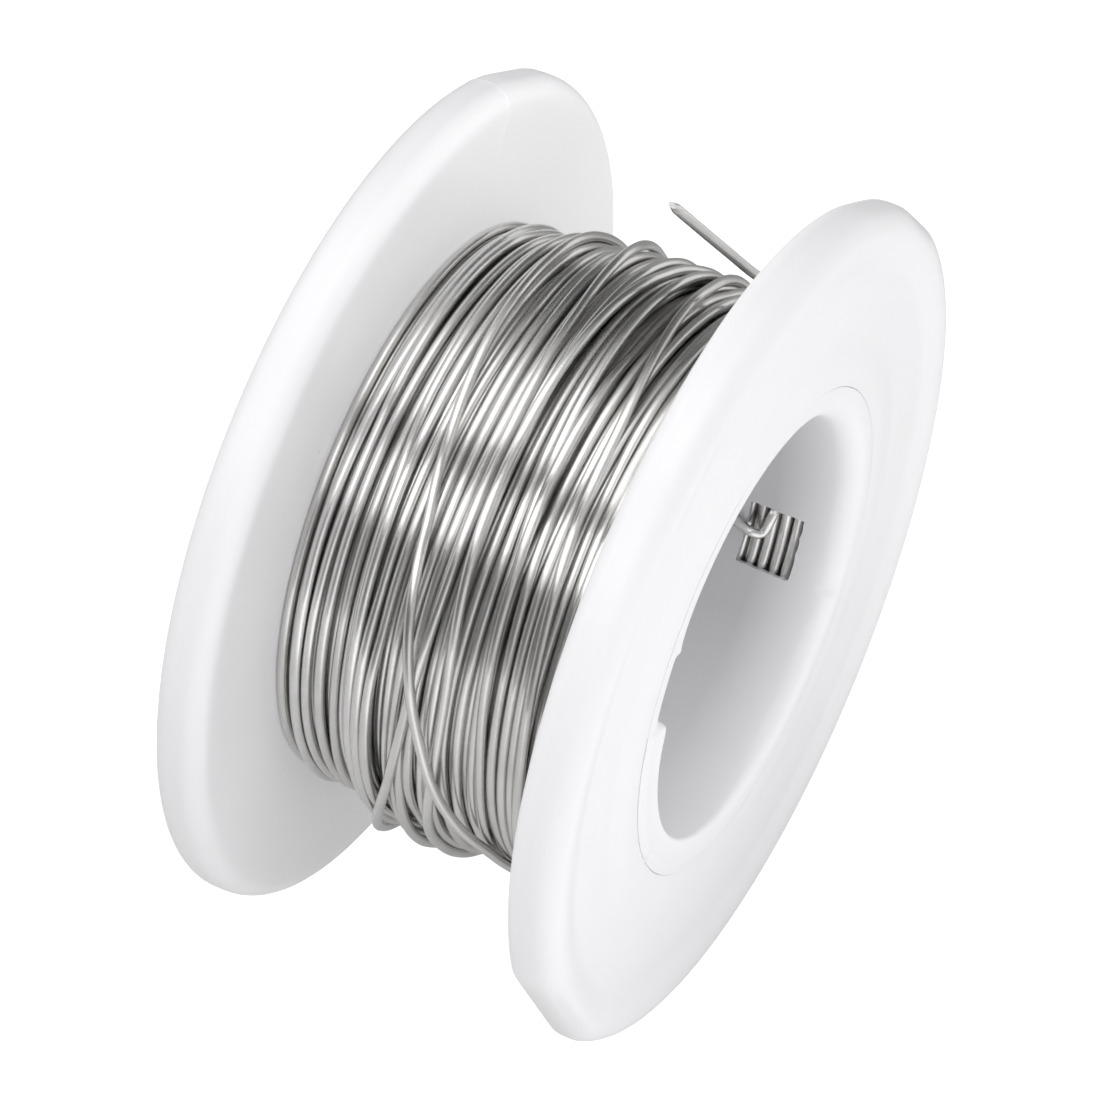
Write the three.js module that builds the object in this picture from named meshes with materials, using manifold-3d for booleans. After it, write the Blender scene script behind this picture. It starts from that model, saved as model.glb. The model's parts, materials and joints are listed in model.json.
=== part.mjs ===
// Solder wire spool: a white plastic reel with wound wire. Millimetres, +Z up.
//
// The reel lies on its two rims. Its axis is X and the origin is on the axis, half way between the flanges.
// Angles round the axis are counted from +Y towards +Z.
import * as THREE from "three";
import { mergeVertices } from "three/addons/utils/BufferGeometryUtils.js";
import Module from "manifold-3d";

// Driving dimensions of the reel.
const FLANGE_RADIUS = 25;
const OVERALL_WIDTH = 24.9;
const FLANGE_THICKNESS = 3.15;
const BORE_RADIUS = 12.5;
const BARREL_RADIUS = 14.6;

// Details of a flange's outer face and rim.
const RIM_LAND = 2.4; // width of the raised ring at the rim, rounding included
const RECESS_DEPTH = 0.8;
const RECESS_SLOPE = 0.6;
const HUB_LAND = 0.7; // raised ring that the flange keeps round the barrel's end
const INNER_ROUND = 1.6; // rounding of the rim towards the wire
const OUTER_ROUND = 1.0;

// Details of the barrel.
const MOUTH_ROUND = 0.6;
const LIP_HEIGHT = 0.1; // the lip stands this far above the rest of the barrel's end
const LIP_MIDDLE_ANGLE = 233;
const WINDOW_ANGLE = 332;
const WINDOW_WIDTH = 3.2;
const WINDOW_ARC = 4.0;

// Driving dimensions of the wire and the winding.
const WIRE_RADIUS = 0.3;
const LAYER_STEP = 0.52; // turns of one layer nest in the grooves of the layer below
const FULL_LAYERS = 4;
const TOP_LAYER_START = -5.5;
const TOP_LAYER_END = 8.4;
const END_GAP = 0.1;
const SLEEVE_GAP = 0.04;
const FIT_GAP = 0.03;

// The strand that crosses the top layer: [angle, x] along its course.
const CROSSING_COURSE = [
  [104, -3.6],
  [137, -2.3],
  [158, -0.6],
  [184, 2.4],
  [210, 5.0],
];

// The loose turn and the free wire that leaves it.
const GROOVE_GAP = 0.08;
const LEAVING_ANGLE = 27;
const LOOSE_ARC = 343;
const HINGE_GAP = 0.15; // room left on each side of a bending point

// Facets.
const ROUND_SEGMENTS = 64;
const WIRE_SEGMENTS = 8;
const ARC_POINTS = 4;

const flangeInner = OVERALL_WIDTH / 2 - FLANGE_THICKNESS;
const flangeOuter = OVERALL_WIDTH / 2;
const fullLayerOuter = BARREL_RADIUS + FULL_LAYERS * LAYER_STEP;
const looseTurnRadius = fullLayerOuter + GROOVE_GAP + WIRE_RADIUS;
const looseTurnX = (TOP_LAYER_END + flangeInner) / 2;

const plastic = () => new THREE.MeshStandardMaterial({ color: 0xf1f1f4, roughness: 0.35, metalness: 0 });
const metal = () => new THREE.MeshStandardMaterial({ color: 0xb4b3b0, roughness: 0.3, metalness: 1 });

const wasm = await Module();
wasm.setup();

/** A point at an angle in degrees round the spool's axis. */
function aroundAxis(x, radius, angle) {
  const a = THREE.MathUtils.degToRad(angle);
  return new THREE.Vector3(x, radius * Math.cos(a), radius * Math.sin(a));
}

/** Points of a quarter-round corner between two directions, in the (radius, axial) plane. */
function corner(centreRadius, centreAxial, round, fromAngle, toAngle) {
  const points = [];
  for (let i = 0; i <= ARC_POINTS; i += 1) {
    const a = THREE.MathUtils.degToRad(fromAngle + ((toAngle - fromAngle) * i) / ARC_POINTS);
    points.push([centreRadius + round * Math.cos(a), centreAxial + round * Math.sin(a)]);
  }
  return points;
}

/** Turns a closed profile of [radius, axial] points, given anticlockwise, round the X axis. */
function turned(profile) {
  const closed = [...profile, profile[0]].map(([radius, axial]) => new THREE.Vector2(radius, axial));
  // Half a facet of turn puts flat facets, not edges, at the bottom where the reel rests.
  const geometry = new THREE.LatheGeometry(closed, ROUND_SEGMENTS, Math.PI / ROUND_SEGMENTS);
  geometry.rotateZ(-Math.PI / 2);
  return geometry;
}

/** A plain ring between two radii. */
function sleeve(innerRadius, outerRadius, fromX, toX) {
  return turned([
    [innerRadius, fromX],
    [outerRadius, fromX],
    [outerRadius, toX],
    [innerRadius, toX],
  ]);
}

/** A round wire along a list of points. */
function wire(points, steps) {
  const circle = new THREE.Shape();
  for (let i = 0; i < WIRE_SEGMENTS; i += 1) {
    const a = ((i + 0.5) * 2 * Math.PI) / WIRE_SEGMENTS;
    const place = i === 0 ? "moveTo" : "lineTo";
    circle[place](WIRE_RADIUS * Math.cos(a), WIRE_RADIUS * Math.sin(a));
  }
  circle.closePath();
  const extrudePath = new THREE.CatmullRomCurve3(points, false, "centripetal");
  return new THREE.ExtrudeGeometry(circle, { steps, bevelEnabled: false, extrudePath });
}

/** A mesh's geometry as a manifold-3d solid. */
function toSolid(geometry) {
  const bare = geometry.clone();
  bare.deleteAttribute("normal");
  bare.deleteAttribute("uv");
  const merged = mergeVertices(bare, 1e-4);
  return new wasm.Manifold(
    new wasm.Mesh({
      numProp: 3,
      vertProperties: new Float32Array(merged.attributes.position.array),
      triVerts: new Uint32Array(merged.index.array),
    }),
  );
}

/** A manifold-3d solid as a geometry. */
function toGeometry(solid) {
  const mesh = solid.getMesh();
  const geometry = new THREE.BufferGeometry();
  geometry.setAttribute("position", new THREE.BufferAttribute(mesh.vertProperties, 3));
  geometry.setIndex(new THREE.BufferAttribute(mesh.triVerts, 1));
  geometry.computeVertexNormals();
  return geometry;
}

/** A box that stands across the spool's axis at an angle, reaching from one radius out to another. */
function boxAtAngle(fromX, toX, arcWidth, fromRadius, toRadius, angle) {
  const box = new THREE.BoxGeometry(toX - fromX, toRadius - fromRadius, arcWidth);
  box.translate((fromX + toX) / 2, (fromRadius + toRadius) / 2, 0);
  box.rotateX(THREE.MathUtils.degToRad(angle));
  return box;
}

/** The right flange: a dished disc with a raised rim and a rounded edge. */
function flange() {
  const seat = BARREL_RADIUS + FIT_GAP;
  const recessOuter = FLANGE_RADIUS - RIM_LAND;
  const recessInner = seat + HUB_LAND;
  const floor = flangeOuter - RECESS_DEPTH;
  const hubTop = flangeOuter - LIP_HEIGHT;
  return turned([
    [seat, flangeInner],
    ...corner(FLANGE_RADIUS - INNER_ROUND, flangeInner + INNER_ROUND, INNER_ROUND, -90, 0),
    ...corner(FLANGE_RADIUS - OUTER_ROUND, flangeOuter - OUTER_ROUND, OUTER_ROUND, 0, 90),
    [recessOuter, flangeOuter],
    [recessOuter - RECESS_SLOPE, floor],
    [recessInner + RECESS_SLOPE, floor],
    [recessInner, hubTop],
    [seat, hubTop],
  ]);
}

/** The hub tube: round mouths, the wire window and a half-round lip at the right mouth. */
function barrel() {
  const tube = turned([
    ...corner(BORE_RADIUS + MOUTH_ROUND, LIP_HEIGHT + MOUTH_ROUND - flangeOuter, MOUTH_ROUND, 180, 270),
    [BARREL_RADIUS, LIP_HEIGHT - flangeOuter],
    [BARREL_RADIUS, flangeOuter],
    ...corner(BORE_RADIUS + MOUTH_ROUND, flangeOuter - MOUTH_ROUND, MOUTH_ROUND, 90, 180),
  ]);
  const window = boxAtAngle(
    flangeInner - WINDOW_WIDTH,
    flangeInner,
    WINDOW_ARC,
    BORE_RADIUS - 1,
    BARREL_RADIUS + 1,
    WINDOW_ANGLE,
  );
  const besideLip = boxAtAngle(
    flangeOuter - LIP_HEIGHT,
    flangeOuter + 1,
    4 * BARREL_RADIUS,
    0,
    2 * BARREL_RADIUS,
    LIP_MIDDLE_ANGLE - 180,
  );
  return toGeometry(toSolid(tube).subtract(toSolid(window)).subtract(toSolid(besideLip)));
}

/** One wound layer, counted from 1 at the hub. */
function windingLayer(number) {
  const inner = BARREL_RADIUS + SLEEVE_GAP + (number - 1) * LAYER_STEP;
  const outer = BARREL_RADIUS + number * LAYER_STEP;
  if (number > FULL_LAYERS) {
    return sleeve(inner, outer, TOP_LAYER_START, TOP_LAYER_END);
  }
  return sleeve(inner, outer, END_GAP - flangeInner, flangeInner - END_GAP);
}

/** The wire's inner end: out of the wound turns, through the window and along the bore. */
function wireStart() {
  const windowLeft = flangeInner - WINDOW_WIDTH;
  const inBore = BORE_RADIUS - 2.2 * WIRE_RADIUS;
  return wire(
    [
      aroundAxis(windowLeft + 2.5, BARREL_RADIUS - 0.6, WINDOW_ANGLE + 5),
      aroundAxis(windowLeft + 1.5, BORE_RADIUS + 0.1, WINDOW_ANGLE - 1),
      aroundAxis(windowLeft + 0.4, inBore, WINDOW_ANGLE + 1),
      aroundAxis(windowLeft - 2.9, inBore, WINDOW_ANGLE + 3),
    ],
    16,
  );
}

/** A strand that lies over the top layer and crosses its turns at a slant. */
function crossingStrand() {
  const radius = BARREL_RADIUS + (FULL_LAYERS + 1) * LAYER_STEP + WIRE_RADIUS + SLEEVE_GAP;
  const course = new THREE.SplineCurve(CROSSING_COURSE.map(([angle, x]) => new THREE.Vector2(angle, x)));
  const points = course.getPoints(16).map((place) => aroundAxis(place.y, radius, place.x));
  return wire(points, 28);
}

/** A point on the free wire: run along its leaving direction, side shift along X. */
function onTail(run, side) {
  const leaving = aroundAxis(looseTurnX + side, looseTurnRadius, LEAVING_ANGLE);
  const along = aroundAxis(0, run, LEAVING_ANGLE + 90);
  return leaving.add(along);
}

/** The whole free wire as one curve, from where it leaves the pack to its tip. */
const tail = new THREE.CatmullRomCurve3(
  [
    onTail(0, 0),
    onTail(2.8, 0),
    onTail(5.6, -0.85),
    onTail(8.6, -2.9),
    onTail(11.05, -3.95),
    onTail(14, -5.15),
    onTail(16.8, -6.24),
  ],
  false,
  "centripetal",
);
const swingShare = 2 / 6;
const bendShare = 4 / 6;

/** Points along part of the free wire, in shares of its whole curve. */
function tailPoints(from, to, count) {
  const points = [];
  for (let i = 0; i <= count; i += 1) {
    points.push(tail.getPoint(from + ((to - from) * i) / count));
  }
  return points;
}

/** How much of the curve's parameter a short length takes at a share of it. */
function shareOf(length, at) {
  const step = 1e-3;
  const speed = tail.getPoint(at + step).distanceTo(tail.getPoint(at - step)) / (2 * step);
  return length / speed;
}

/** The turn that unwinds next, with the start of the free wire. */
function lastTurn() {
  const points = [];
  const count = ROUND_SEGMENTS - 4;
  for (let i = 0; i < count; i += 1) {
    const angle = LEAVING_ANGLE + 360 - LOOSE_ARC + (LOOSE_ARC * i) / count;
    points.push(aroundAxis(looseTurnX, looseTurnRadius, angle));
  }
  const end = swingShare - shareOf(HINGE_GAP, swingShare);
  return wire([...points, ...tailPoints(0, end, 4)], 70);
}

/** The free wire between its two bending points. */
function tailMiddle() {
  const from = swingShare + shareOf(HINGE_GAP, swingShare);
  const to = bendShare - shareOf(HINGE_GAP, bendShare);
  return wire(tailPoints(from, to, 5), 8);
}

/** The wire's loose tip. */
function freeEnd() {
  return wire(tailPoints(bendShare + shareOf(HINGE_GAP, bendShare), 1, 5), 10);
}

/** A named mesh. */
function piece(name, geometry, material) {
  const mesh = new THREE.Mesh(geometry, material);
  mesh.name = name;
  return mesh;
}

const spool = new THREE.Group();
spool.name = "solder_wire_spool";
spool.add(piece("hub_barrel", barrel(), plastic()));
spool.add(piece("right_flange", flange(), plastic()));

const leftFlange = piece("left_flange", flange(), plastic());
leftFlange.rotation.z = Math.PI;
spool.add(leftFlange);

for (let number = 1; number <= FULL_LAYERS + 1; number += 1) {
  spool.add(piece(`winding_layer_${number}`, windingLayer(number), metal()));
}
spool.add(piece("wire_start", wireStart(), metal()));
spool.add(piece("crossing_strand", crossingStrand(), metal()));
spool.add(piece("last_turn", lastTurn(), metal()));
spool.add(piece("tail_middle", tailMiddle(), metal()));
spool.add(piece("free_end", freeEnd(), metal()));

export default spool;
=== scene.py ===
"""Looks for the solder wire spool: a moulded white reel wound with bright solder wire.

Shapes are worked out in millimetres in the row frame and become metres when a mesh is made.
Angles round the spool's axis are in degrees, counted from +Y towards +Z.
"""

import json
import math

import bpy
import numpy as np
from mathutils import Matrix, Vector


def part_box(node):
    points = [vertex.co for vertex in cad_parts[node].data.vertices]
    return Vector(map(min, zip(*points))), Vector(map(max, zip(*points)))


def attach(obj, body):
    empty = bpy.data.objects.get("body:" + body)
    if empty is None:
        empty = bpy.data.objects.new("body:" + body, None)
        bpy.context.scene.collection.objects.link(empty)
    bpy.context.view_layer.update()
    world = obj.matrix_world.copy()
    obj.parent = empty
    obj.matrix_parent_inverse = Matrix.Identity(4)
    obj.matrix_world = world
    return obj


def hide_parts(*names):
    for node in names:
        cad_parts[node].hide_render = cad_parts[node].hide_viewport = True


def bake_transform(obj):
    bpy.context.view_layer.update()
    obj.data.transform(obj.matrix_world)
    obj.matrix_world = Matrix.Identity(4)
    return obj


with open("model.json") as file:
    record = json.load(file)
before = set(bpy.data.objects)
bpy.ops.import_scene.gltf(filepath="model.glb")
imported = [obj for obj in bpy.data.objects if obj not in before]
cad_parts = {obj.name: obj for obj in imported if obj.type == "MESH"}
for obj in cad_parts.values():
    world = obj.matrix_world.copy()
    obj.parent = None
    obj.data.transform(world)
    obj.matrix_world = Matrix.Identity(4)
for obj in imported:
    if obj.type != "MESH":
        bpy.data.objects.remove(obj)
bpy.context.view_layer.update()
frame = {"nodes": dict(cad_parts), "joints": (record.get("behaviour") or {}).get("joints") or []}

MM = 0.001
SEED = 22
SHARP_EDGE = 50  # degrees between faces from which an edge is shaded sharp

# Wire. The tail's course is given as (run, side shift) points in millimetres.
WIRE_RADIUS = 0.3
WIRE = 2 * WIRE_RADIUS
TAIL_COURSE = ((0, 0), (2.8, 0), (5.6, -0.85), (8.6, -2.9), (11.05, -3.95), (14, -5.15), (16.8, -6.24))

# Camera, at the viewing angle of a catalogue picture.
CAMERA_AZIMUTH = 27.9
CAMERA_ELEVATION = 49.8
CAMERA_DISTANCE = 0.3237
CAMERA_LENS = 187.6
CAMERA_SHIFT = (-0.00076, 0.0002)


# ---------------------------------------------------------------- measures from the frame

def span(node, axis):
    """Lowest and highest coordinate of a CAD node along a row axis, in millimetres."""
    low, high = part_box(node)
    return low[axis] / MM, high[axis] / MM


def radii(node):
    """Smallest and largest distance of a CAD node's vertices from the spool's axis, in millimetres."""
    distances = [math.hypot(v.co.y, v.co.z) for v in frame["nodes"][node].data.vertices]
    return min(distances) / MM, max(distances) / MM


def joint(name):
    """The joint with this name."""
    return next(j for j in frame["joints"] if j["name"] == name)


FLANGE_INNER, FLANGE_OUTER = span("right_flange", 0)
SEAT_RADIUS, FLANGE_RADIUS = radii("right_flange")
BORE_RADIUS, BARREL_RADIUS = radii("hub_barrel")

# Reel details that the CAD solids leave out or keep plain, in millimetres and degrees.
DRUM_RADIUS = 12.95
HUB_DEPTH = 0.2
HUB_TOP = FLANGE_OUTER - HUB_DEPTH
RECESS_DEPTH = 0.42
RIM_ROUNDING = 1.3
RIGHT_FLATS = ((203, 12.5), (35, 6.5), (52, 5))  # worn flats on a rim, as (angle, half angle)
LEFT_FLATS = ((53, 6),)
RIGHT_PARTING, LEFT_PARTING = 237, 62
MOUTH_ROUNDING = 1.4
LIP_START, LIP_END = 158, 323
LIP_FADE_START, LIP_FADE_END = 225, 290
LIP_FADED = 0.3  # share of the lip that is left after it fades
LIP_HEIGHT = 0.19
LIP_ROUNDING = 0.25
LIP_INSET = 0.12
FLASH_ANGLE = 138
FLASH_SIZE = 0.55
RAGGED_SIZE = 0.16
PIT_ANGLE = 201
PIT_DEPTH = 0.25
WINDOW_ANGLE = 331.4
WINDOW_LOW, WINDOW_HIGH = FLANGE_INNER - 3.2, FLANGE_INNER + 0.2
WINDOW_ARC = 3.9


# ---------------------------------------------------------------- mesh helpers

def around(x, radius, angle):
    """Points round the spool's axis, for numbers or arrays of numbers."""
    a = np.radians(angle)
    return np.stack(np.broadcast_arrays(x, radius * np.cos(a), radius * np.sin(a)), axis=-1)


def smooth_ring(values, sigma):
    """Blurs values given round a full circle. Sigma is in samples."""
    count = values.shape[-1]
    offset = np.minimum(np.arange(count), count - np.arange(count))
    kernel = np.exp(-0.5 * (offset / sigma) ** 2)
    kernel /= kernel.sum()
    return np.real(np.fft.ifft(np.fft.fft(values, axis=-1) * np.fft.fft(kernel), axis=-1))


def quads_of_grid(rows, columns, closed_rows, closed_columns):
    """Faces of a grid of rows x columns vertices."""
    i = np.arange(rows if closed_rows else rows - 1)[:, None]
    j = np.arange(columns if closed_columns else columns - 1)[None, :]
    next_i = (i + 1) % rows
    next_j = (j + 1) % columns
    corners = (i * columns + j, i * columns + next_j, next_i * columns + next_j, next_i * columns + j)
    return np.stack(np.broadcast_arrays(*corners), axis=-1).reshape(-1, 4)


def make_object(name, vertices, faces, attributes=None):
    """A smooth-shaded object from millimetre vertices, with float or vector attributes on its points."""
    mesh = bpy.data.meshes.new(name)
    mesh.from_pydata((np.asarray(vertices) * MM).tolist(), [], [list(map(int, f)) for f in faces])
    mesh.validate()
    mesh.polygons.foreach_set("use_smooth", [True] * len(mesh.polygons))
    for key, values in (attributes or {}).items():
        values = np.asarray(values, np.float32)
        if values.ndim == 1:
            mesh.attributes.new(key, "FLOAT", "POINT").data.foreach_set("value", values)
        else:
            mesh.attributes.new(key, "FLOAT_VECTOR", "POINT").data.foreach_set("vector", values.ravel())
    mesh.set_sharp_from_angle(angle=math.radians(SHARP_EDGE))
    obj = bpy.data.objects.new(name, mesh)
    bpy.context.scene.collection.objects.link(obj)
    return obj


def tangents(centres, closed):
    """Unit vectors along a curve of points."""
    following = np.roll(centres, -1, axis=0)
    previous = np.roll(centres, 1, axis=0)
    if not closed:
        following[-1] = centres[-1]
        previous[0] = centres[0]
    along = following - previous
    return along / np.linalg.norm(along, axis=1, keepdims=True)


def lengths_along(centres, closed):
    """Length of the curve from its first point to each point."""
    previous = np.roll(centres, 1, axis=0)
    if not closed:
        previous[0] = centres[0]
    return np.cumsum(np.linalg.norm(centres - previous, axis=1))


def wire_tube(centres, closed, strand, sides, nipped=0):
    """Vertices, faces and attributes of a round wire along centres.

    The last rows, as many as nipped says, are pinched flat as side cutters leave them.
    """
    pinched = 0.55
    widened = 0.3
    tangent = tangents(centres, closed)
    outward = centres * [0, 1, 1]
    outward -= (outward * tangent).sum(1, keepdims=True) * tangent
    outward /= np.linalg.norm(outward, axis=1, keepdims=True)
    sideways = np.cross(tangent, outward)
    turn = np.arange(sides) * 2 * math.pi / sides
    rows = len(centres)
    squeeze = np.ones(rows)
    squeeze[rows - nipped :] = np.linspace(1, pinched, nipped)
    spread = 1 + widened * (1 - squeeze)
    ring = outward[:, None] * np.cos(turn)[:, None] * squeeze[:, None, None]
    ring = ring + sideways[:, None] * np.sin(turn)[:, None] * spread[:, None, None]
    vertices = (centres[:, None] + WIRE_RADIUS * ring).reshape(-1, 3)
    faces = [tuple(f) for f in quads_of_grid(rows, sides, closed, True)]
    if not closed:
        faces.append(tuple(range(sides)))
        faces.append(tuple((rows - 1) * sides + k for k in reversed(range(sides))))
    attributes = {
        "along": np.repeat(lengths_along(centres, closed), sides),
        "across": np.tile(np.arange(sides) / sides, rows),
        "strand": np.full(rows * sides, strand),
        "course": np.repeat(tangent, sides, axis=0),
    }
    return vertices, faces, attributes


def join_tubes(name, tubes):
    """One object from several wire tubes."""
    vertices, faces, attributes = [], [], {}
    base = 0
    for tube_vertices, tube_faces, tube_attributes in tubes:
        vertices.append(tube_vertices)
        faces += [tuple(k + base for k in f) for f in tube_faces]
        for key, values in tube_attributes.items():
            attributes.setdefault(key, []).append(values)
        base += len(tube_vertices)
    merged = {key: np.concatenate(values) for key, values in attributes.items()}
    return make_object(name, np.concatenate(vertices), faces, merged)


# ---------------------------------------------------------------- the moulded reel

def rounded_section(corners):
    """A closed section through corners of (radius, axial, rounding)."""
    points_to_a_corner = 9
    points = []
    for k, (radius, axial, rounding) in enumerate(corners):
        here = np.array([radius, axial], float)
        if not rounding:
            points.append(here)
            continue
        inwards = np.array(corners[k - 1][:2]) - here
        onwards = np.array(corners[(k + 1) % len(corners)][:2]) - here
        inwards /= np.linalg.norm(inwards)
        onwards /= np.linalg.norm(onwards)
        half = math.acos(np.clip(inwards @ onwards, -1, 1)) / 2
        bisector = (inwards + onwards) / np.linalg.norm(inwards + onwards)
        centre = here + bisector * rounding / math.sin(half)
        start = here + inwards * rounding / math.tan(half) - centre
        end = here + onwards * rounding / math.tan(half) - centre
        first = math.atan2(start[1], start[0])
        sweep = (math.atan2(end[1], end[0]) - first + math.pi) % (2 * math.pi) - math.pi
        for share in np.linspace(0, 1, points_to_a_corner):
            a = first + sweep * share
            points.append(centre + rounding * np.array([math.cos(a), math.sin(a)]))
    return np.array(points)


def pieces_between(points, spacing):
    """Into how many pieces each side of a closed section should be divided."""
    sides = np.linalg.norm(np.roll(points, -1, axis=0) - points, axis=1)
    return np.maximum(1, np.ceil(sides / spacing)).astype(int)


def fill_in(points, pieces):
    """Divides each side of a closed section into pieces."""
    filled = []
    for here, after, count in zip(points, np.roll(points, -1, axis=0), pieces):
        filled += [here + (after - here) * k / count for k in range(count)]
    return np.array(filled)


def away_from(angle, middle):
    """Signed angle from a middle angle, for arrays in degrees."""
    return (angle - middle + 180) % 360 - 180


def bump_at(angle, middle, half_width):
    """A smooth bump of height 1 at an angle, for arrays of angles in degrees."""
    return np.exp(-((away_from(angle, middle) / half_width) ** 2))


def ring_angles(step, fine_spans):
    """Angles round the reel: even steps, with finer ones in spans of (from, to, step)."""
    angles = [np.arange(0, 360, step)]
    angles += [np.mod(np.arange(first, last, fine), 360) for first, last, fine in fine_spans]
    return np.unique(np.round(np.concatenate(angles), 3))


def slow_waves(angle, along, rng, height):
    """Gentle unevenness of a moulded surface, over angle and a second coordinate in millimetres."""
    waves = 10
    total = np.zeros(np.broadcast(angle, along).shape)
    for _ in range(waves):
        turns = rng.integers(1, 7)
        length = rng.uniform(4, 14)
        phase = rng.uniform(0, 2 * math.pi, 2)
        wave = np.sin(np.radians(angle) * turns + phase[0])
        total = total + wave * np.sin(along / length * 2 * math.pi + phase[1])
    return height * total / math.sqrt(waves)


def flange_section():
    """The right flange's section, as (radius, axial) points."""
    floor = FLANGE_OUTER - RECESS_DEPTH
    land_edge = FLANGE_RADIUS - 1.9
    recess_edge = FLANGE_RADIUS - 3.4
    rise_start = SEAT_RADIUS + 3.0
    rise_end = SEAT_RADIUS + 1.2
    spacing = 0.45
    corners = rounded_section(
        [
            (SEAT_RADIUS, FLANGE_INNER, 0),
            (FLANGE_RADIUS, FLANGE_INNER, RIM_ROUNDING),
            (FLANGE_RADIUS, FLANGE_OUTER, RIM_ROUNDING),
            (land_edge, FLANGE_OUTER, 3.5),
            (recess_edge, floor, 2.5),
            (rise_start, floor, 6.0),
            (rise_end, HUB_TOP, 6.0),
            (SEAT_RADIUS, HUB_TOP, 0),
        ]
    )
    return fill_in(corners, pieces_between(corners, spacing))


def flat_depth(angle, middle, half):
    """How far a worn flat on the rim lies below the full radius, for angles in degrees."""
    soft = 0.04
    beyond = 60  # degrees; the flat has ended long before
    distance = FLANGE_RADIUS * math.cos(math.radians(half))
    away = np.clip(np.abs(away_from(angle, middle)), 0, beyond)
    depth = FLANGE_RADIUS - distance / np.cos(np.radians(away))
    return soft * np.logaddexp(0, depth / soft)


def ramp(value, low, high):
    """Rises from 0 at low to 1 at high, and stays there."""
    return np.clip((value - low) / (high - low), 0, 1)


def make_flange(node, side, flats, parting, seed):
    """A flange with gentle waves, worn flats on its rim and a fine parting ridge.

    Side is 1 for the right flange and -1 for the left one. Flats are (angle, half angle) pairs.
    """
    waviness = 0.02
    ridge_width = 0.35  # degrees
    ridge_on_rim, ridge_on_face = 0.04, 0.035
    face_start, face_full = 19, 22  # radii between which the ridge on the inner face rises
    rng = np.random.default_rng(seed)
    section = flange_section()
    spans = [(parting - 1, parting + 1, 0.2)]
    spans += [(middle - half - 2, middle - half + 2, 0.3) for middle, half in flats]
    spans += [(middle + half - 2, middle + half + 2, 0.3) for middle, half in flats]
    angle = ring_angles(1.25, spans)[:, None]
    radius, axial = section[:, 0], section[:, 1]
    ridge = bump_at(angle, parting, ridge_width)
    rim = ramp(radius, FLANGE_RADIUS - 1.8, FLANGE_RADIUS - 0.4)
    inner_face = (1 - ramp(axial, FLANGE_INNER, FLANGE_INNER + 0.5)) * ramp(radius, face_start, face_full)
    worn = sum(flat_depth(angle, middle, half) for middle, half in flats) * rim
    dish = slow_waves(angle, radius, rng, waviness)
    radius = radius + ridge_on_rim * ridge * rim - worn + slow_waves(angle, axial, rng, waviness) * rim
    axial = axial + dish - ridge_on_face * ridge * inner_face
    vertices = around(side * axial, radius, angle).reshape(-1, 3)
    faces = quads_of_grid(len(angle), len(section), True, True)
    obj = make_object(f"{node}_moulding", vertices, faces if side > 0 else faces[:, ::-1])
    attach(obj, "spool")
    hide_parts(node)
    return obj


def barrel_section(mouth, lip_height, bore_inset):
    """The hub tube's section with a given rounding, height and bore inset at its right mouth."""
    shoulder = 0.6
    foot = 0.2  # share of the lip's height at which its outer side starts
    thread = 0.001  # keeps the corner before the mouth from lying in a straight line
    return rounded_section(
        [
            (BORE_RADIUS, -HUB_TOP, MOUTH_ROUNDING),
            (BARREL_RADIUS, -HUB_TOP, 0),
            (BARREL_RADIUS, -FLANGE_INNER, 0),
            (DRUM_RADIUS, -FLANGE_INNER, 0),
            (DRUM_RADIUS, FLANGE_INNER, 0),
            (BARREL_RADIUS, FLANGE_INNER, 0),
            (BARREL_RADIUS, HUB_TOP + foot * lip_height, 0),
            (BARREL_RADIUS - shoulder, HUB_TOP + lip_height + thread, shoulder),
            (BORE_RADIUS - bore_inset, HUB_TOP + lip_height, mouth),
            (BORE_RADIUS - bore_inset, FLANGE_INNER - 2.0, 0),
        ]
    )


def lip_share(angle):
    """How much of the lip stands at each angle: none above, all below, fading towards its right end."""
    start_width, end_width = 0.4, 0.5  # degrees over which the lip starts and ends
    start = 1 / (1 + np.exp(-(angle - LIP_START) / start_width))
    end = 1 / (1 + np.exp(-(LIP_END - angle) / end_width))
    fade = np.clip(angle - LIP_FADE_START, 0, LIP_FADE_END - LIP_FADE_START)
    fading = (1 + np.cos(math.pi * fade / (LIP_FADE_END - LIP_FADE_START))) / 2
    return start * (LIP_FADED * end + (1 - LIP_FADED) * fading)


def flash_size(angle):
    """How far the flash stands into the bore: rising slowly, then broken off."""
    rise, drop = 5.0, 0.8  # degrees
    beyond = 60  # degrees; nothing is left of the flash there
    before = np.clip(FLASH_ANGLE - angle, 0, beyond)
    after = np.clip(angle - FLASH_ANGLE, 0, beyond)
    return FLASH_SIZE * np.exp(-before / rise - (after / drop) ** 2)


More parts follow.
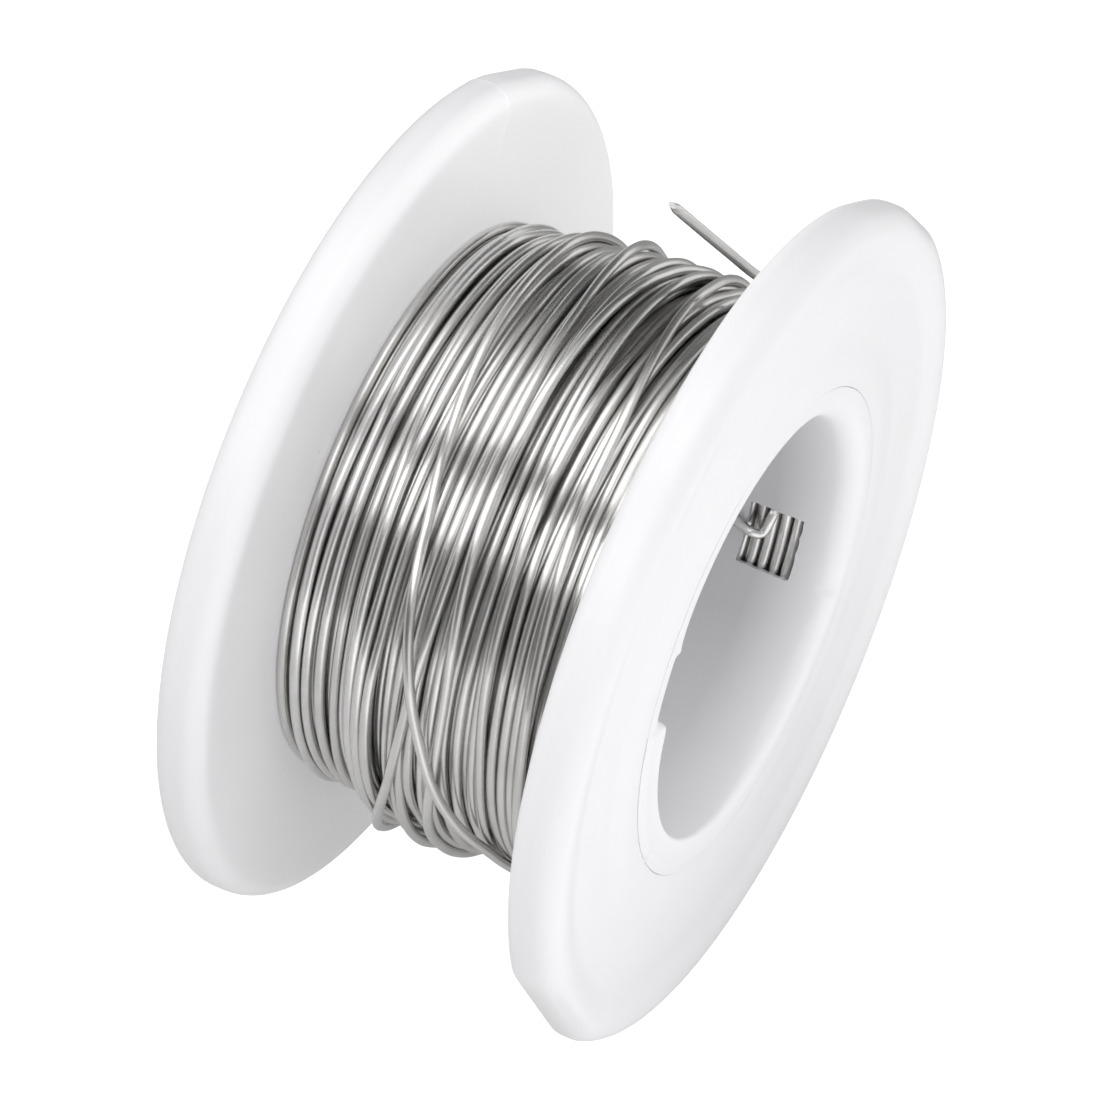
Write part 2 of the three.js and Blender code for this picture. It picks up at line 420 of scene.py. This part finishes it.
def make_barrel():
    """The hub tube with its wire window, and at the right mouth a half-round lip with ragged flash."""
    spacing = 0.4
    mouth_reach = 2.2
    pit_inset, pit_radius, pit_width = 0.15, 0.5, 0.7
    rng = np.random.default_rng(SEED + 3)
    upper = barrel_section(MOUTH_ROUNDING, 0.0, 0.0)
    lower = barrel_section(LIP_ROUNDING, LIP_HEIGHT, LIP_INSET)
    pieces = pieces_between(upper, spacing)
    upper, lower = fill_in(upper, pieces), fill_in(lower, pieces)
    spans = [(FLASH_ANGLE - 14, FLASH_ANGLE + 4, 0.3), (LIP_START - 4, LIP_START + 12, 0.25)]
    spans += [(LIP_END - 3, LIP_END + 3, 0.25), (PIT_ANGLE - 2, PIT_ANGLE + 2, 0.25)]
    angle = ring_angles(1.0, spans)[:, None]
    lip = lip_share(angle)
    radius = upper[:, 0] * (1 - lip) + lower[:, 0] * lip
    axial = upper[:, 1] * (1 - lip) + lower[:, 1] * lip
    ragged = rng.uniform(0, 1, angle.shape) * RAGGED_SIZE * bump_at(angle, LIP_START + 4, 5)
    near_mouth = np.clip(mouth_reach - np.hypot(radius - BORE_RADIUS, axial - FLANGE_OUTER), 0, 1)
    radius = radius - (flash_size(angle) + ragged) * near_mouth
    from_pit = np.hypot(radius - BARREL_RADIUS + pit_inset, axial - FLANGE_OUTER)
    pit = bump_at(angle, PIT_ANGLE, pit_width) * np.clip(1 - from_pit / pit_radius, 0, 1)
    axial = axial - PIT_DEPTH * pit
    vertices = around(axial, radius, angle).reshape(-1, 3)
    obj = make_object("hub_barrel_moulding", vertices, quads_of_grid(len(angle), len(upper), True, True))
    cut_window(obj, rng)
    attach(obj, "spool")
    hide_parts("hub_barrel")
    return obj


def window_cutter(rng):
    """A block through the drum wall whose four sides are slightly ragged."""
    per_side = 14
    raggedness = (0.025, 0.03)
    along = np.linspace(-0.5, 0.5, per_side, endpoint=False)
    half = np.full(per_side, 0.5)
    x = np.concatenate([along, half, -along, -half])
    arc = np.concatenate([-half, along, half, -along])
    x = (WINDOW_LOW + WINDOW_HIGH) / 2 + x * (WINDOW_HIGH - WINDOW_LOW)
    x = x + rng.normal(0, raggedness[0], len(x))
    arc = arc * WINDOW_ARC + rng.normal(0, raggedness[1], len(arc))
    angle = WINDOW_ANGLE + np.degrees(arc / BORE_RADIUS)
    rings = [around(x, radius, angle) for radius in (BORE_RADIUS - 2, BARREL_RADIUS - 0.4)]
    count = len(x)
    faces = [tuple(reversed(f)) for f in quads_of_grid(2, count, False, True)]
    faces += [tuple(range(count)), tuple(range(2 * count - 1, count - 1, -1))]
    return make_object("window_cutter", np.concatenate(rings), faces)


def cut_window(barrel, rng):
    """Cuts the wire window out of the drum wall."""
    cutter = window_cutter(rng)
    cut = barrel.modifiers.new("window", "BOOLEAN")
    cut.operation = "DIFFERENCE"
    cut.solver = "EXACT"
    cut.object = cutter
    bpy.context.view_layer.update()
    evaluated = barrel.evaluated_get(bpy.context.evaluated_depsgraph_get())
    barrel.data = bpy.data.meshes.new_from_object(evaluated)
    barrel.modifiers.clear()
    bpy.data.objects.remove(cutter)
    barrel.data.set_sharp_from_angle(angle=math.radians(SHARP_EDGE))


# ---------------------------------------------------------------- the winding

SAMPLES = 240
SAMPLE_ANGLES = np.arange(SAMPLES) * 360 / SAMPLES
TURN_RADIANS = np.radians(SAMPLE_ANGLES)


def rest_height(x, placed):
    """The lowest radius at which a strand at x clears the drum and every strand in placed."""
    height = np.full(np.shape(x), DRUM_RADIUS + WIRE_RADIUS)
    for other_x, other_radius in placed:
        shape = (SAMPLES,) + (1,) * (np.ndim(x) - 1)
        gap = np.abs(x - other_x.reshape(shape))
        lift = np.sqrt(np.clip(WIRE**2 - gap**2, 0, None))
        height = np.where(gap < WIRE, np.maximum(height, other_radius.reshape(shape) + lift), height)
    return height


def drape(height):
    """A strand cannot follow every dip: it hangs in a shallow curve between the high places."""
    steps = SAMPLES // 12
    sag = 1.6
    blur = 1.6
    draped = height.copy()
    for k in range(-steps, steps + 1):
        draped = np.maximum(draped, np.roll(height, k) - sag * (k / steps) ** 2)
    return smooth_ring(draped, blur)


def settle(x, placed, low, high):
    """Lets a strand slide sideways into the grooves below it, then lays it down."""
    slide = WIRE_RADIUS
    reach = 1.3
    blur = 6
    stiffness = 0.25
    shifts = np.linspace(-slide, slide, 11)
    candidates = np.clip(x[:, None] + shifts, low, high)
    near = [p for p in placed if np.min(np.abs(p[0] - x)) < reach]
    heights = rest_height(candidates, near)
    cost = smooth_ring(heights.T, blur).T + stiffness * shifts**2
    chosen = shifts[np.argmin(cost, axis=1)]
    x = np.clip(x + smooth_ring(chosen, blur), low, high)
    return x, drape(rest_height(x, near))


def drift_field(rng, amount):
    """A smooth sideways drift shared by neighbouring turns, as a function of where a turn lies."""
    wavelength = 12
    wave_count = 8
    waves = []
    for _ in range(wave_count):
        phases = rng.uniform(0, 2 * math.pi, 2)
        turns = rng.integers(1, 4)
        rate = rng.uniform(0.6, 1.4) * 2 * math.pi / wavelength
        waves.append((turns, rate, *phases, rng.normal()))

    def drift(x):
        total = 0
        for turns, rate, first, second, size in waves:
            wave = np.sin(turns * TURN_RADIANS + first) * np.sin(rate * x + second)
            total = total + size * wave / math.sqrt(turns)
        return amount * total / 2

    return drift


def wander(rng, amount):
    """One turn's own slow sideways drift."""
    drift = 0
    for turns in (1, 2, 3):
        drift = drift + rng.normal() * np.sin(TURN_RADIANS * turns + rng.uniform(0, 2 * math.pi)) / turns
    return amount * drift


def clear_last_turn(x, radius):
    """Presses a strand down where it would touch the last turn."""
    clearance = 0.03
    reach = WIRE + clearance
    gap = np.abs(x - LOOSE_X)
    room = LOOSE_RADIUS - np.sqrt(np.clip(reach**2 - gap**2, 0, None))
    return np.where(gap < reach, np.minimum(radius, room), radius)


def wind_layer(placed, layer, rng):
    """Winds one layer on top of what is placed, and returns its strands."""
    low, high, pitch, shared, own = layer[1:]
    field = drift_field(rng, shared)
    strands = []
    for middle in np.linspace(low, high, round((high - low) / pitch) + 1):
        x = np.clip(middle + field(middle) + wander(rng, own), low, high)
        x, radius = settle(x, placed + strands, low, high)
        strands.append((x, clear_last_turn(x, radius)))
    return strands


def crossing_course(points):
    """A closed course round the pack from (angle, x) points, smooth between them."""
    blur = 5
    angles = np.array([p[0] for p in points], float)
    places = np.array([p[1] for p in points], float)
    wrapped_angles = np.concatenate([angles - 360, angles, angles + 360])
    wrapped_places = np.tile(places, 3)
    return smooth_ring(np.interp(SAMPLE_ANGLES, wrapped_angles, wrapped_places), blur)


TOP_LOW, TOP_HIGH = span("winding_layer_5", 0)
LAST_X = FLANGE_INNER - WIRE_RADIUS - 0.02  # the place of a turn that lies against a flange
LOOSE_X = (TOP_HIGH + FLANGE_INNER) / 2
LOOSE_LIFT = 0.08  # of the last turn over layer 4
LOOSE_RADIUS = radii("winding_layer_4")[1] + LOOSE_LIFT + WIRE_RADIUS

# Wound layers as (CAD node, first turn, last turn, pitch, shared drift, own drift).
LAYERS = (
    ("winding_layer_1", -LAST_X, LAST_X, 0.76, 0.05, 0.05),
    ("winding_layer_1", -LAST_X, LAST_X, 0.78, 0.03, 0.03),
    ("winding_layer_1", -LAST_X, LAST_X, 0.90, 0.0, 0.01),
    ("winding_layer_2", -LAST_X, LAST_X, 0.90, 0.0, 0.01),
    ("winding_layer_2", -LAST_X, LAST_X, 0.88, 0.0, 0.01),
    ("winding_layer_3", -LAST_X, LAST_X, 0.80, 0.0, 0.01),
    ("winding_layer_4", -LAST_X, LAST_X, 0.74, 0.03, 0.03),
    ("winding_layer_4", -LAST_X + 0.7, LAST_X, 0.80, 0.12, 0.10),
    ("winding_layer_5", TOP_LOW + WIRE_RADIUS, TOP_HIGH - WIRE_RADIUS, 0.66, 0.2, 0.13),
)
# Turns that lie across the others, each as (angle, x) points.
CROSSINGS = (
    (
        *((40, 3.7), (57, 4.0), (73, 4.3), (97, 5.3), (120, 5.6)),
        *((160, 6.5), (185, 6.7), (215, 6.2), (320, 3.9)),
    ),
    (
        *((35, 2.4), (60, 1.6), (100, 1.0), (130, 0.9)),
        *((152, 1.6), (178, 1.4), (200, 0.4), (290, 1.4)),
    ),
    (
        *((35, -1.6), (60, -0.9), (100, 0.0), (140, 0.15), (163, -0.4)),
        *((185, -1.35), (197, -2.5), (213, -3.8), (245, -4.4), (325, -2.2)),
    ),
    (
        *((57, -4.1), (95, -3.8), (110, -3.3), (127, -2.5), (147, -1.35)),
        *((177, 1.3), (193, 3.4), (205, 4.9), (225, 4.9), (340, -4.1)),
    ),
)


def wind_pack():
    """Every strand of the pack, by CAD node."""
    within_reach = 60  # strands of the layers below that a new layer can touch
    rng = np.random.default_rng(SEED)
    placed, by_node = [], {}
    for layer in LAYERS:
        strands = wind_layer(placed, layer, rng)
        by_node.setdefault(layer[0], []).extend(strands)
        placed = placed[-within_reach:] + strands
    by_node["crossing_strand"] = []
    for course in CROSSINGS:
        x = crossing_course(course)
        strand = (x, drape(rest_height(x, placed)))
        placed.append(strand)
        by_node["crossing_strand"].append(strand)
    return by_node


def make_winding(metal):
    """The wound pack as one piece per CAD node, each a bundle of strands."""
    tone_step = 0.718  # from one strand to the next, so that neighbours differ
    for node, strands in wind_pack().items():
        tubes = []
        hidden = node in ("winding_layer_2", "winding_layer_3")
        step, sides = (3, 6) if hidden else (1, 12)
        for k, (x, radius) in enumerate(strands):
            centres = around(x, radius, SAMPLE_ANGLES)[::step]
            tubes.append(wire_tube(centres, True, k * tone_step % 1, sides))
        obj = join_tubes(f"{node}_turns", tubes)
        obj.data.materials.append(metal)
        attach(obj, "spool")
        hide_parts(node)


# ---------------------------------------------------------------- loose turn, tail and wire start

def spline(points, count):
    """A smooth curve through points, as count points evenly spaced along it."""
    fine_steps = 24
    points = np.asarray(points, float)
    padded = np.concatenate([2 * points[:1] - points[1:2], points, 2 * points[-1:] - points[-2:-1]])
    fine = []
    for k in range(len(points) - 1):
        p0, p1, p2, p3 = padded[k : k + 4]
        t = np.linspace(0, 1, fine_steps, endpoint=False)[:, None]
        curve = 2 * p1 + (p2 - p0) * t + (2 * p0 - 5 * p1 + 4 * p2 - p3) * t**2
        curve = curve + (3 * p1 - p0 - 3 * p2 + p3) * t**3
        fine.append(curve / 2)
    fine = np.concatenate(fine + [points[-1:]])
    length = np.concatenate([[0], np.cumsum(np.linalg.norm(np.diff(fine, axis=0), axis=1))])
    wanted = np.linspace(0, length[-1], count)
    return np.stack([np.interp(wanted, length, fine[:, axis]) for axis in range(3)], axis=1)


SWING_AXIS = joint("tail_swing")["axis"]
LEAVING_ANGLE = math.degrees(math.atan2(SWING_AXIS[2], SWING_AXIS[1]))
SWING_POINT = np.array(joint("tail_swing")["pos_m"]) / MM
BEND_POINT = np.array(joint("tail_bend")["pos_m"]) / MM
LOOSE_ARC = 343  # degrees of the pack that the last turn goes round
TAIL_POINTS = 241
LOOSE_SIDES = 16
LOOSE_TONE = 0.3
START_TONE = 0.7


def tail_point(run, side):
    """A point on the free wire: run along its leaving direction, side shift along X."""
    leaving = around(LOOSE_X + side, LOOSE_RADIUS, LEAVING_ANGLE)
    return leaving + around(0, run, LEAVING_ANGLE + 90)


def tail_curve():
    """The free wire as one fine curve from the pack to its tip."""
    return spline([tail_point(*p) for p in TAIL_COURSE], TAIL_POINTS)


def nearest_index(curve, point):
    """Index of the curve's point nearest to a point."""
    return int(np.argmin(np.linalg.norm(curve - point, axis=1)))


def finish_wire(obj, metal, node, body):
    """Material, slot and body of a wire piece that stands for a CAD node."""
    obj.data.materials.append(metal)
    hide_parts(node)
    if body:
        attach(obj, body)


def make_loose_wire(metal):
    """The last turn and the free wire, split where the joints are."""
    curve = tail_curve()
    swing = nearest_index(curve, SWING_POINT)
    bend = nearest_index(curve, BEND_POINT)
    split = 14  # points of the curve, about 1 mm, on either side of a joint
    steps = 340
    arc = LEAVING_ANGLE + 360 - LOOSE_ARC + LOOSE_ARC * np.arange(steps) / steps
    turn = np.concatenate([around(LOOSE_X, LOOSE_RADIUS, arc), curve[: swing - split + 1]])
    middle = curve[swing - split : bend - split + 1]
    end = curve[bend - split :]
    last = join_tubes("last_turn_wire", [wire_tube(turn, False, LOOSE_TONE, LOOSE_SIDES)])
    finish_wire(last, metal, "last_turn", "loose_turn")
    tail = join_tubes("tail_middle_wire", [wire_tube(middle, False, LOOSE_TONE, LOOSE_SIDES)])
    finish_wire(tail, metal, "tail_middle", None)
    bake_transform(tail)
    tip = join_tubes("free_end_wire", [wire_tube(end, False, LOOSE_TONE, LOOSE_SIDES, nipped=7)])
    finish_wire(tip, metal, "free_end", None)
    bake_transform(tip)


def make_wire_start(metal):
    """The wire's inner end: from between the first turns, through the window and along the bore."""
    in_bore = BORE_RADIUS - 1.2 * WIRE_RADIUS
    points = [
        around(WINDOW_LOW + 1.45, DRUM_RADIUS + 0.35, 341),
        around(WINDOW_LOW + 1.4, DRUM_RADIUS - 0.2, 338),
        around(WINDOW_LOW + 1.1, BORE_RADIUS + 0.1, 332.5),
        around(WINDOW_LOW + 0.4, in_bore, 332.5),
        around(WINDOW_LOW - 1.0, in_bore, 334.5),
        around(WINDOW_LOW - 2.9, in_bore, 335.5),
    ]
    obj = join_tubes("wire_start_kink", [wire_tube(spline(points, 60), False, START_TONE, LOOSE_SIDES)])
    finish_wire(obj, metal, "wire_start", "spool")


# ---------------------------------------------------------------- materials

class Tree:
    """A short way to build a node tree."""

    def __init__(self, tree):
        self.tree = tree

    def add(self, kind, inputs=None, **settings):
        """Adds a node, sets its properties, and links or sets its inputs."""
        node = self.tree.nodes.new(kind)
        for key, value in settings.items():
            setattr(node, key, value)
        for key, value in (inputs or {}).items():
            self.feed(node.inputs[key], value)
        return node

    def feed(self, socket, value):
        """Links a node's first output or a socket, or sets a plain value."""
        if isinstance(value, bpy.types.Node):
            value = value.outputs[0]
        if isinstance(value, bpy.types.NodeSocket):
            self.tree.links.new(value, socket)
        else:
            socket.default_value = value

    def maths(self, operation, a, b=0.0):
        """A maths node."""
        return self.add("ShaderNodeMath", {0: a, 1: b}, operation=operation)

    def product(self, *values):
        """The product of two or more values."""
        total = values[0]
        for value in values[1:]:
            total = self.maths("MULTIPLY", total, value)
        return total

    def attribute(self, name):
        """A node that reads an attribute of the mesh."""
        return self.add("ShaderNodeAttribute", attribute_name=name)

    def noise(self, place, scale, detail, **inputs):
        """A noise texture over a place."""
        inputs = {"Vector": place, "Scale": scale, "Detail": detail, **inputs}
        return self.add("ShaderNodeTexNoise", inputs).outputs[0]

    def remap(self, value, low, high, to_low, to_high):
        """Maps a value from one range to another, clamped."""
        inputs = {"Value": value, "From Min": low, "From Max": high, "To Min": to_low, "To Max": to_high}
        return self.add("ShaderNodeMapRange", inputs)

    def mix(self, factor, a, b):
        """A colour mix."""
        node = self.add("ShaderNodeMix", data_type="RGBA")
        self.feed(node.inputs[0], factor)
        self.feed(node.inputs[6], a)
        self.feed(node.inputs[7], b)
        return node.outputs[2]


class Nodes(Tree):
    """A new material with its node tree and shader."""

    def __init__(self, name):
        self.material = bpy.data.materials.new(name)
        self.material.use_nodes = True
        super().__init__(self.material.node_tree)
        self.shader = self.tree.nodes["Principled BSDF"]


BLACK = (0.0, 0.0, 0.0, 1)
WHITE = (1.0, 1.0, 1.0, 1)


def reel_places(n):
    """Object place, distance from the axis and distance from the reel's middle, as shader values."""
    place = n.add("ShaderNodeTexCoord").outputs["Object"]
    parts = n.add("ShaderNodeSeparateXYZ", {0: place})
    squares = [n.maths("POWER", parts.outputs[axis], 2.0) for axis in (1, 2)]
    radius = n.maths("SQRT", n.maths("ADD", *squares))
    return place, parts.outputs[1], radius, n.maths("ABSOLUTE", parts.outputs[0])


def speckled(n, place, tone):
    """A tone with a few small dark specks."""
    cells = n.add("ShaderNodeTexVoronoi", {"Vector": place, "Scale": 330.0, "Randomness": 1.0})
    dot = n.remap(cells.outputs["Distance"], 0.018, 0.034, 1.0, 0.0)
    chance = n.add("ShaderNodeSeparateColor", {0: cells.outputs["Color"]})
    chosen = n.maths("GREATER_THAN", chance.outputs[0], 0.72)
    return n.mix(n.product(dot, chosen, 0.5), tone, (0.45, 0.42, 0.4, 1))


def plastic_material():
    """Moulded white plastic: glossy, a little translucent, with fine waves, lathe marks and specks,
    painted shade deep in the bore and a faint painted glow.

    Its roughness is 0.3 or more. Cycles' denoiser treats glossier surfaces as mirrors, and a range
    of roughness on both sides of that step shows as torn patches.
    """
    n = Nodes("white_plastic")
    place, to_back, radius, from_middle = reel_places(n)
    lathe_inputs = {"W": radius, "Scale": 2600.0, "Detail": 3.0}
    lathe = n.add("ShaderNodeTexNoise", lathe_inputs, noise_dimensions="1D")
    cloud = n.noise(place, 120.0, 4.0, Roughness=0.55)
    grain = n.noise(place, 1500.0, 3.0)
    tone = n.mix(cloud, (0.88, 0.876, 0.896, 1), (0.92, 0.918, 0.934, 1))

    # Painted shade: the bore's colour is darkened towards its middle, most of all at the back, where
    # little light reaches.
    in_bore = n.remap(radius, (BORE_RADIUS + 0.1) * MM, (BORE_RADIUS + 1.2) * MM, 1.0, 0.0)
    deep = n.remap(from_middle, (FLANGE_OUTER - 5.0) * MM, (FLANGE_OUTER - 0.5) * MM, 1.0, 0.0)
    painted_bore_shade = n.remap(to_back, -9 * MM, 8 * MM, 0.0, 0.36)
    tone = n.mix(n.product(in_bore, deep, painted_bore_shade), tone, BLACK)
    n.feed(n.shader.inputs["Base Color"], speckled(n, place, tone))
    n.feed(n.shader.inputs["Roughness"], n.remap(cloud, 0.3, 0.7, 0.3, 0.42))
    n.feed(n.shader.inputs["Subsurface Weight"], 0.12)
    n.feed(n.shader.inputs["Subsurface Radius"], (1.0, 0.9, 0.9))
    n.feed(n.shader.inputs["Subsurface Scale"], 0.0006)
    n.feed(n.shader.inputs["IOR"], 1.5)

    # A faint glow stands for light that soaks through the flanges and the bore's mouths.
    facing_in = n.remap(from_middle, (FLANGE_INNER + 0.1) * MM, (FLANGE_INNER + 1.2) * MM, 1.0, 0.0)
    beyond_hub = n.remap(radius, BARREL_RADIUS * MM, (BARREL_RADIUS + 0.5) * MM, 0.0, 1.0)
    soaked = n.remap(to_back, -12 * MM, 10 * MM, 0.07, 0.24)
    at_mouth = n.product(in_bore, n.maths("SUBTRACT", 1.0, deep), 0.03)
    glow = n.maths("ADD", n.product(facing_in, beyond_hub, soaked), at_mouth)
    n.feed(n.shader.inputs["Emission Color"], WHITE)
    n.feed(n.shader.inputs["Emission Strength"], glow)

    relief = n.maths("ADD", n.product(lathe, 0.5), n.product(grain, 0.35))
    relief = n.maths("ADD", relief, n.product(cloud, 1.2))
    bump = n.add("ShaderNodeBump", {"Height": relief, "Strength": 0.12, "Distance": 0.00012})
    n.feed(n.shader.inputs["Normal"], bump)
    return n.material


def metal_material():
    """Drawn solder wire: satin metal with draw marks along it and dull patches."""
    n = Nodes("solder_wire")
    along = n.attribute("along").outputs["Fac"]
    across = n.attribute("across").outputs["Fac"]
    strand = n.attribute("strand").outputs["Fac"]
    course = n.attribute("course").outputs["Vector"]
    place = n.add("ShaderNodeTexCoord").outputs["Object"]
    stretched = {0: n.product(along, 0.12), 1: n.product(across, 22.0), 2: n.product(strand, 40.0)}
    draw = n.noise(n.add("ShaderNodeCombineXYZ", stretched), 1.0, 3.0)
    patch = n.noise(place, 420.0, 3.0)
    dents = n.noise(place, 1700.0, 2.0)

    tone = n.mix(strand, (0.70, 0.69, 0.675, 1), (0.78, 0.775, 0.765, 1))
    dull = n.remap(patch, 0.35, 0.75, 0.0, 0.35)
    n.feed(n.shader.inputs["Base Color"], n.mix(dull, tone, (0.55, 0.54, 0.53, 1)))
    n.feed(n.shader.inputs["Metallic"], 1.0)
    rough = n.maths("ADD", n.remap(patch, 0.3, 0.7, 0.2, 0.25), n.product(draw, 0.015))
    n.feed(n.shader.inputs["Roughness"], rough)

    # Drawing leaves marks along the wire, so its highlights spread across it.
    drawn = n.add("ShaderNodeVectorTransform", {0: course}, convert_from="OBJECT", convert_to="WORLD")
    n.feed(n.shader.inputs["Anisotropic"], 0.95)
    n.feed(n.shader.inputs["Anisotropic Rotation"], 0.25)
    n.feed(n.shader.inputs["Tangent"], drawn)

    relief = n.maths("ADD", n.product(draw, 0.6), n.product(dents, 0.4))
    bump = n.add("ShaderNodeBump", {"Height": relief, "Strength": 0.25, "Distance": 0.00003})
    n.feed(n.shader.inputs["Normal"], bump)
    return n.material


def floor_material():
    """A plain pale surface that the camera sees as white.

    Towards the right it glows like a lit table, and behind the spool it is darker for the wire to reflect.
    """
    n = Nodes("pale_floor")
    place = n.add("ShaderNodeTexCoord").outputs["Object"]
    to_right, to_back = n.add("ShaderNodeSeparateXYZ", {0: place}).outputs[:2]
    cloud = n.add("ShaderNodeTexNoise", {"Vector": place, "Scale": 6.0})
    plain = n.mix(cloud.outputs[0], (0.49, 0.49, 0.49, 1), (0.51, 0.51, 0.51, 1))
    n.feed(n.shader.inputs["Base Color"], n.mix(n.remap(to_back, 0.02, 0.07, 0.0, 0.75), plain, BLACK))
    n.feed(n.shader.inputs["Roughness"], 0.8)
    n.feed(n.shader.inputs["Emission Color"], WHITE)
    seen = n.add("ShaderNodeLightPath").outputs["Is Camera Ray"]
    glow = n.remap(to_right, FLANGE_OUTER * MM, 0.035, 0.18, 0.84)
    n.feed(n.shader.inputs["Emission Strength"], n.maths("MAXIMUM", glow, seen))
    return n.material


# ---------------------------------------------------------------- stage

# Brightness round the spool's axis, as (angle, level): 0 is behind, 90 overhead, 180 in front.
STUDIO_BANDS = (
    (0, 0.08),
    (36, 0.05),
    (60, 0.33),
    (76, 1.0),
    (97, 1.0),
    (104, 0.05),
    (113, 0.05),
    (118, 1.0),
    (136, 1.0),
    (143, 0.08),
    (168, 0.08),
    (180, 0.2),
)
STUDIO_STRENGTH = 2.1


def make_floor():
    """A large pale floor under the rims."""
    half = 1.5
    low_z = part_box("right_flange")[0].z
    mesh = bpy.data.meshes.new("floor")
    corners = [(-half, -half, low_z), (half, -half, low_z), (half, half, low_z), (-half, half, low_z)]
    mesh.from_pydata(corners, [], [(0, 1, 2, 3)])
    floor = bpy.data.objects.new("floor", mesh)
    bpy.context.scene.collection.objects.link(floor)
    floor.data.materials.append(floor_material())


def studio_world():
    """A studio round the object: bright panels overhead and in front, dark between them and behind.

    The camera itself sees a plain white backdrop.
    """
    left_tone = (0.22, 0.22, 0.22, 1)
    backdrop = (0.47, 0.47, 0.47, 1)
    world = bpy.data.worlds.new("studio")
    world.use_nodes = True
    bpy.context.scene.world = world
    n = Tree(world.node_tree)
    parts = n.add("ShaderNodeSeparateXYZ", {0: n.add("ShaderNodeTexCoord").outputs["Generated"]})
    to_right, to_back, upwards = parts.outputs
    turn = n.maths("ARCTAN2", upwards, to_back)
    bands = n.add("ShaderNodeValToRGB", {0: n.maths("DIVIDE", turn, math.pi)})
    while len(bands.color_ramp.elements) < len(STUDIO_BANDS):
        bands.color_ramp.elements.new(0.5)
    for element, (angle, level) in zip(bands.color_ramp.elements, STUDIO_BANDS):
        element.position = angle / 180
        element.color = (level, level, level, 1)
    right_side = n.remap(to_right, 0.35, 0.6, 0.0, 1.0)
    left_side = n.remap(to_right, -0.93, -0.78, 1.0, 0.0)
    low_panel = n.remap(upwards, 0.2, 0.55, 0.62, 0.2)
    right_tone = n.product(low_panel, n.remap(to_right, 0.85, 0.97, 1.0, 0.5))
    side_tone = n.mix(left_side, right_tone, left_tone)
    colour = n.mix(n.maths("ADD", right_side, left_side), bands, side_tone)
    seen = n.add("ShaderNodeLightPath").outputs["Is Camera Ray"]
    colour = n.mix(seen, colour, backdrop)
    background = world.node_tree.nodes["Background"]
    n.feed(background.inputs["Color"], colour)
    background.inputs["Strength"].default_value = STUDIO_STRENGTH


def direction(azimuth, elevation):
    """Unit vector from the spool towards a viewer at an azimuth and elevation."""
    a, e = math.radians(azimuth), math.radians(elevation)
    return Vector((math.sin(a) * math.cos(e), -math.cos(a) * math.cos(e), math.sin(e)))


def key_light():
    """A soft square panel above the spool, facing it."""
    azimuth, elevation = -15, 70
    distance = 0.7
    data = bpy.data.lights.new("key", "AREA")
    data.shape = "SQUARE"
    data.size = 0.5
    data.energy = 0.4
    light = bpy.data.objects.new("key", data)
    bpy.context.scene.collection.objects.link(light)
    light.location = direction(azimuth, elevation) * distance
    light.rotation_euler = (-light.location).to_track_quat("-Z", "Y").to_euler()


def make_camera():
    """The catalogue view."""
    data = bpy.data.cameras.new("camera")
    data.lens = CAMERA_LENS
    camera = bpy.data.objects.new("camera", data)
    bpy.context.scene.collection.objects.link(camera)
    back = direction(CAMERA_AZIMUTH, CAMERA_ELEVATION)
    right = Vector((math.cos(math.radians(CAMERA_AZIMUTH)), math.sin(math.radians(CAMERA_AZIMUTH)), 0))
    up = back.cross(right)
    rotation = Matrix((right, up, back)).transposed().to_4x4()
    place = back * CAMERA_DISTANCE + right * CAMERA_SHIFT[0] + up * CAMERA_SHIFT[1]
    camera.matrix_world = Matrix.Translation(place) @ rotation
    bpy.context.scene.camera = camera


def make_stage():
    """Floor, studio, light, camera and tone of the picture."""
    make_floor()
    studio_world()
    key_light()
    make_camera()
    bpy.context.scene.view_settings.view_transform = "Standard"


# ---------------------------------------------------------------- assembly

plastic = plastic_material()
metal = metal_material()
mouldings = (
    make_flange("right_flange", 1, RIGHT_FLATS, RIGHT_PARTING, SEED + 1),
    make_flange("left_flange", -1, LEFT_FLATS, LEFT_PARTING, SEED + 2),
    make_barrel(),
)
for moulding in mouldings:
    moulding.data.materials.append(plastic)
make_winding(metal)
make_loose_wire(metal)
make_wire_start(metal)
make_stage()

bpy.context.view_layer.update()
